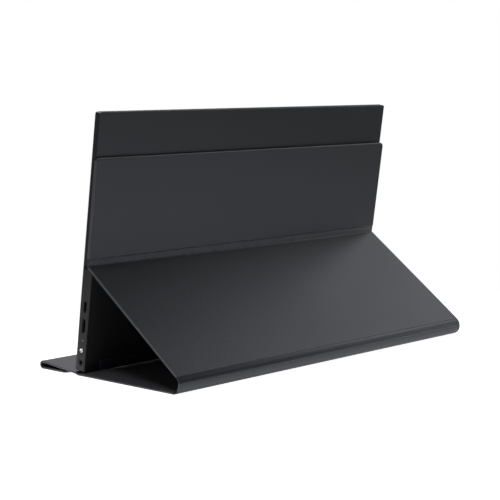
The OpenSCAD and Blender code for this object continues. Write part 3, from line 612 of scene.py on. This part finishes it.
def side_sockets():
    """One small video socket, and a reversible power and data socket in each side."""
    video, usb, nylon, gold = (bmesh.new() for _ in range(4))
    socket_shell(video, VIDEO_HEIGHT, width=11.2 * MM, thick=3.4 * MM, round_front=0.25 * MM,
                 round_back=1.1 * MM, segments=1)
    tongue(nylon, VIDEO_HEIGHT, width=7.6 * MM, length=6 * MM)
    contacts(gold, VIDEO_HEIGHT, pitch=0.7 * MM, count=10, length=6 * MM, face=-1)
    socket_shell(usb, USB_HEIGHT, width=9 * MM, thick=3.2 * MM, round_front=1.45 * MM,
                 round_back=1.45 * MM, segments=6)
    tongue(nylon, USB_HEIGHT, width=6.6 * MM, length=6.4 * MM)
    for face in (-1, 1):
        contacts(gold, USB_HEIGHT, pitch=0.5 * MM, count=12, length=6.4 * MM, face=face)
    for bm in (usb, nylon, gold):
        copy_to_far_side(bm)
    piece("video_socket_shell", on_monitor(video), NICKEL, "polished_metal", "monitor",
          "video_socket")
    piece("usb_socket_shells", on_monitor(usb), NICKEL, "polished_metal", "monitor", "usb_sockets")
    piece("socket_tongues", on_monitor(nylon), TONGUE, "bezel_plastic", "monitor")
    piece("socket_contacts", on_monitor(gold), GOLD, "polished_metal", "monitor")


def power_button():
    """Turned and polished cap with a rounded rim, a slight dish and a small pit in its middle. The
    profile gives pairs of width and radius in millimetres."""
    profile = ((176.6, 0), (176.6, 0.8), (176.0, 0.8), (176.0, 2.4), (176.65, 2.4), (176.65, 1.8),
               (178.2, 1.8), (178.36, 1.77), (178.46, 1.68), (178.5, 1.52), (178.48, 1.4),
               (178.44, 1.1), (178.42, 0.78), (178.4, 0.7), (178.1, 0.66), (178.0, 0.6), (178, 0))
    bm = bmesh.new()
    line = [bm.verts.new((x * MM, POWER_D, POWER_HEIGHT + r * MM)) for x, r in profile]
    edges = [bm.edges.new(pair) for pair in zip(line, line[1:])]
    bmesh.ops.spin(bm, geom=line + edges, cent=(0, POWER_D, POWER_HEIGHT), axis=(1, 0, 0),
                   angle=2 * math.pi, steps=48, use_merge=True)
    bmesh.ops.remove_doubles(bm, verts=bm.verts, dist=NEAR)
    piece("power_button_cap", on_monitor(bm), POLISHED, "polished_metal", "power_key",
          "power_button")


side_sockets()
power_button()


# Floor, light and camera

FADE_MIDDLE, FADE_START, FADE_END = (0.08, 0.2, 0), 0.2, 0.6
FLOOR_DROP = 0.2 * MM
WORLD_STRENGTH = 0.04
# The white backdrop lies this way from the object, fades out between two heights, and is full from
# this far round
BACKDROP_WAY, BACKDROP_TOP, BACKDROP_FULL = (-0.71, -0.7, 0), (0.12, 0.3), 0.4


def stage_floor():
    """A white table top that fades into the white background. Where the camera, metal or glass sees
    it, it glows as well, so that it stays white and still keeps the object's shadow."""
    m = new_material("white_table")
    lit = add(m, "ShaderNodeBsdfDiffuse", {"Color": srgb("#e6e6e6")})
    glow = add(m, "ShaderNodeEmission", {"Color": (1, 1, 1, 1), "Strength": 1.0})
    both = add(m, "ShaderNodeAddShader", {0: lit, 1: glow})
    ray = add(m, "ShaderNodeLightPath").outputs
    clear_ray = add(m, "ShaderNodeMath", {0: ray["Is Camera Ray"], 1: ray["Is Transmission Ray"]},
                    operation="MAXIMUM")
    seen_ray = add(m, "ShaderNodeMath", {0: clear_ray, 1: ray["Is Glossy Ray"]},
                   operation="MAXIMUM")
    table = add(m, "ShaderNodeMixShader", {0: seen_ray, 1: lit, 2: both})
    where = add(m, "ShaderNodeTexCoord").outputs["Object"]
    away = add(m, "ShaderNodeVectorMath", {0: where, 1: FADE_MIDDLE}, operation="DISTANCE")
    fade = add(m, "ShaderNodeMapRange", {"Value": away.outputs["Value"], "From Min": FADE_START,
                                         "From Max": FADE_END}, interpolation_type="SMOOTHSTEP")
    nothing = add(m, "ShaderNodeBsdfTransparent")
    faded = add(m, "ShaderNodeMixShader", {0: fade, 1: table, 2: nothing})
    add(m, "ShaderNodeOutputMaterial", {"Surface": faded})
    bm = bmesh.new()
    bmesh.ops.create_circle(bm, cap_ends=True, segments=96, radius=1)
    mesh = bpy.data.meshes.new("floor")
    bm.to_mesh(mesh)
    bm.free()
    mesh.materials.append(m)
    floor = bpy.data.objects.new("floor", mesh)
    floor.location.z = -FLOOR_DROP
    bpy.context.scene.collection.objects.link(floor)


def world_light():
    """A weak even light in a dark studio. The camera and glass see white all round. Metal and gloss
    see white only low down behind the object, where the backdrop stands."""
    world = bpy.data.worlds.new("studio")
    bpy.context.scene.world = world
    world.use_nodes = True
    world.node_tree.nodes.clear()
    white = add(world, "ShaderNodeBackground", {"Color": (1, 1, 1, 1), "Strength": 1.0})
    soft = add(world, "ShaderNodeBackground",
               {"Color": (0.95, 0.97, 1, 1), "Strength": WORLD_STRENGTH})
    way = add(world, "ShaderNodeTexCoord").outputs["Object"]
    height = add(world, "ShaderNodeSeparateXYZ", {0: way}).outputs["Z"]
    low = add(world, "ShaderNodeMapRange",
              {"Value": height, "From Min": BACKDROP_TOP[0], "From Max": BACKDROP_TOP[1],
               "To Min": 1, "To Max": 0}, interpolation_type="SMOOTHSTEP")
    behind = add(world, "ShaderNodeVectorMath", {0: way, 1: BACKDROP_WAY},
                 operation="DOT_PRODUCT")
    wide = add(world, "ShaderNodeMapRange",
               {"Value": behind.outputs["Value"], "From Min": 0, "From Max": BACKDROP_FULL},
               interpolation_type="SMOOTHSTEP")
    backdrop = add(world, "ShaderNodeMath", {0: low, 1: wide}, operation="MULTIPLY")
    ray = add(world, "ShaderNodeLightPath").outputs
    mirrored = add(world, "ShaderNodeMath", {0: ray["Is Glossy Ray"], 1: backdrop},
                   operation="MULTIPLY")
    clear_ray = add(world, "ShaderNodeMath",
                    {0: ray["Is Camera Ray"], 1: ray["Is Transmission Ray"]}, operation="MAXIMUM")
    seen = add(world, "ShaderNodeMath", {0: mirrored, 1: clear_ray}, operation="MAXIMUM")
    mix = add(world, "ShaderNodeMixShader", {0: seen, 1: soft, 2: white})
    add(world, "ShaderNodeOutputWorld", {"Surface": mix})


def soft_light(name, place, aim, size, power):
    data = bpy.data.lights.new(name, "AREA")
    data.shape = "RECTANGLE"
    data.size, data.size_y = size
    data.energy = power
    lamp = bpy.data.objects.new(name, data)
    lamp.location = place
    lamp.visible_camera = False
    lamp.rotation_euler = (Vector(aim) - Vector(place)).to_track_quat("-Z", "Y").to_euler()
    bpy.context.scene.collection.objects.link(lamp)


def photo_camera():
    """The photograph's viewpoint: place in metres, then how far the view is turned, lowered and
    rolled."""
    place = Vector((0.88967, 0.86093, 0.22579))
    yaw, pitch, roll = math.radians(45.54), math.radians(6.25), math.radians(-0.93)
    ahead = Vector((-math.sin(yaw) * math.cos(pitch), -math.cos(yaw) * math.cos(pitch),
                    -math.sin(pitch)))
    right = ahead.cross(Z).normalized()
    up = right.cross(ahead)
    rolled_right = right * math.cos(roll) + up * math.sin(roll)
    rolled_up = up * math.cos(roll) - right * math.sin(roll)
    data = bpy.data.cameras.new("camera")
    data.sensor_width = 36
    data.lens = 101.12
    data.clip_start, data.clip_end = 0.05, 20
    camera = bpy.data.objects.new("camera", data)
    camera.matrix_world = Matrix.Translation(place) @ Matrix(
        (rolled_right, rolled_up, -ahead)).transposed().to_4x4()
    bpy.context.scene.collection.objects.link(camera)
    bpy.context.scene.camera = camera


stage_floor()
world_light()
# Places, aims and sizes in metres, power in watts
soft_light("front_softbox", place=(-0.3, -0.8, 1.5), aim=(0, -0.05, 0), size=(0.8, 0.8), power=19)
soft_light("side_softbox", place=(-1.33, 0.36, 0.99), aim=(0, 0.05, 0.05), size=(1.6, 1.05),
           power=9.8)
soft_light("overhead_softbox", place=(0.62, 0.12, 1.5), aim=(0.05, 0, 0), size=(0.4, 0.4),
           power=7)
photo_camera()
bpy.context.scene.view_settings.view_transform = "Standard"
